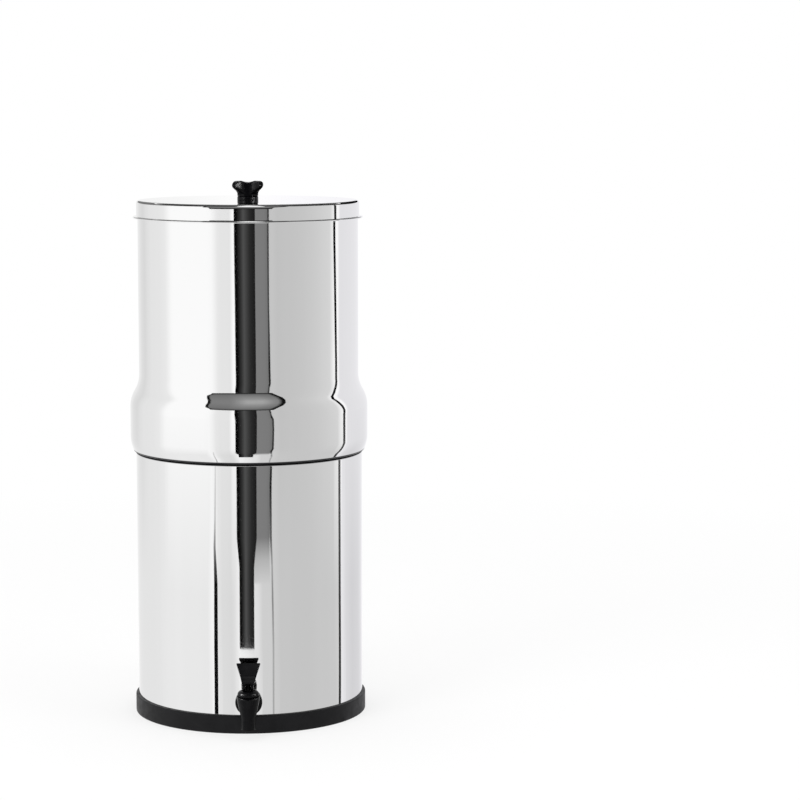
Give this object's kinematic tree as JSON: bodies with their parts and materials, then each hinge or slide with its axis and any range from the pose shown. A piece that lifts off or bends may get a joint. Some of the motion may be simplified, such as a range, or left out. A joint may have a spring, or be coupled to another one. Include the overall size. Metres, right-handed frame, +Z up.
{
  "type": "gravity water filter with tap",
  "caption": "Round two-chamber gravity water filter of polished steel: lift-off lid with knob, upper chamber nested in the lower, lever tap at the foot, black base ring.",
  "frame": {"origin": "centre of the base ring's underside, on the chambers' common axis", "axes": "+Z up along the chambers' axis, the tap faces -Y, +X to the right of a person facing the tap"},
  "size_m": [0.2556, 0.2886, 0.5744],
  "materials": {
    "polished_steel": "mirror polished stainless sheet",
    "plain_steel": "plain stainless",
    "black_rubber_ring": "satin moulded rubber",
    "black_rubber": "matte rubber",
    "black_knob_plastic": "glossy phenolic",
    "black_tap_plastic": "moulded semi-gloss",
    "black_cap_plastic": "moulded satin",
    "grey_cap_plastic": "mottled grey moulding",
    "carbon_block": "pressed carbon, porous",
    "seat_silicone": "soft silicone"
  },
  "bodies": {
    "lower": {"base_ring": "black_rubber_ring", "lower_chamber": "polished_steel", "tap_body": "black_tap_plastic", "tap_outer_washer": "black_rubber", "tap_inner_washer": "black_rubber", "tap_lock_nut": "black_tap_plastic", "tap_bonnet": "black_tap_plastic", "valve_spring": "plain_steel"},
    "valve": {"valve_stem": "black_tap_plastic", "seat_cup": "seat_silicone", "lever_pin": "plain_steel"},
    "lever": {"tap_lever": "black_tap_plastic"},
    "upper": {"upper_chamber": "polished_steel", "element_block_left": "carbon_block", "element_top_cap_left": "black_cap_plastic", "element_base_cap_left": "grey_cap_plastic", "element_stem_left": "black_cap_plastic", "element_washer_left": "black_rubber", "element_wing_nut_left": "black_cap_plastic", "element_block_right": "carbon_block", "element_top_cap_right": "black_cap_plastic", "element_base_cap_right": "grey_cap_plastic", "element_stem_right": "black_cap_plastic", "element_washer_right": "black_rubber", "element_wing_nut_right": "black_cap_plastic", "plug_screw_front": "black_cap_plastic", "plug_washer_front": "black_rubber", "plug_wing_nut_front": "black_cap_plastic", "plug_screw_back": "black_cap_plastic", "plug_washer_back": "black_rubber", "plug_wing_nut_back": "black_cap_plastic"},
    "lid": {"lid": "polished_steel", "lid_knob": "black_knob_plastic", "knob_washer": "plain_steel", "knob_screw": "plain_steel"}
  },
  "joints": [
    {"name": "upper_chamber_lift", "type": "slide", "parent": "lower", "child": "upper", "axis": [0, 0, 1], "range_m": [0, 0.12]},
    {"name": "lid_lift", "type": "slide", "parent": "upper", "child": "lid", "axis": [0, 0, 1], "range_m": [0, 0.12]},
    {"name": "stem_lift", "type": "slide", "parent": "lower", "child": "valve", "axis": [0, 0, 1], "range_m": [0, 0.0035], "deforming": ["valve_spring"]},
    {"name": "lever_tilt", "type": "hinge", "parent": "valve", "child": "lever", "pos_m": [0, -0.149, 0.057], "axis": [1, 0, 0], "range_deg": [0, 70], "stiffness_Nm_per_rad": 0.06, "springref_deg": -20.05}
  ],
  "couplings": [
    {"joint": "stem_lift", "follows": "lever_tilt", "m_per_rad": 0.002864}
  ]
}
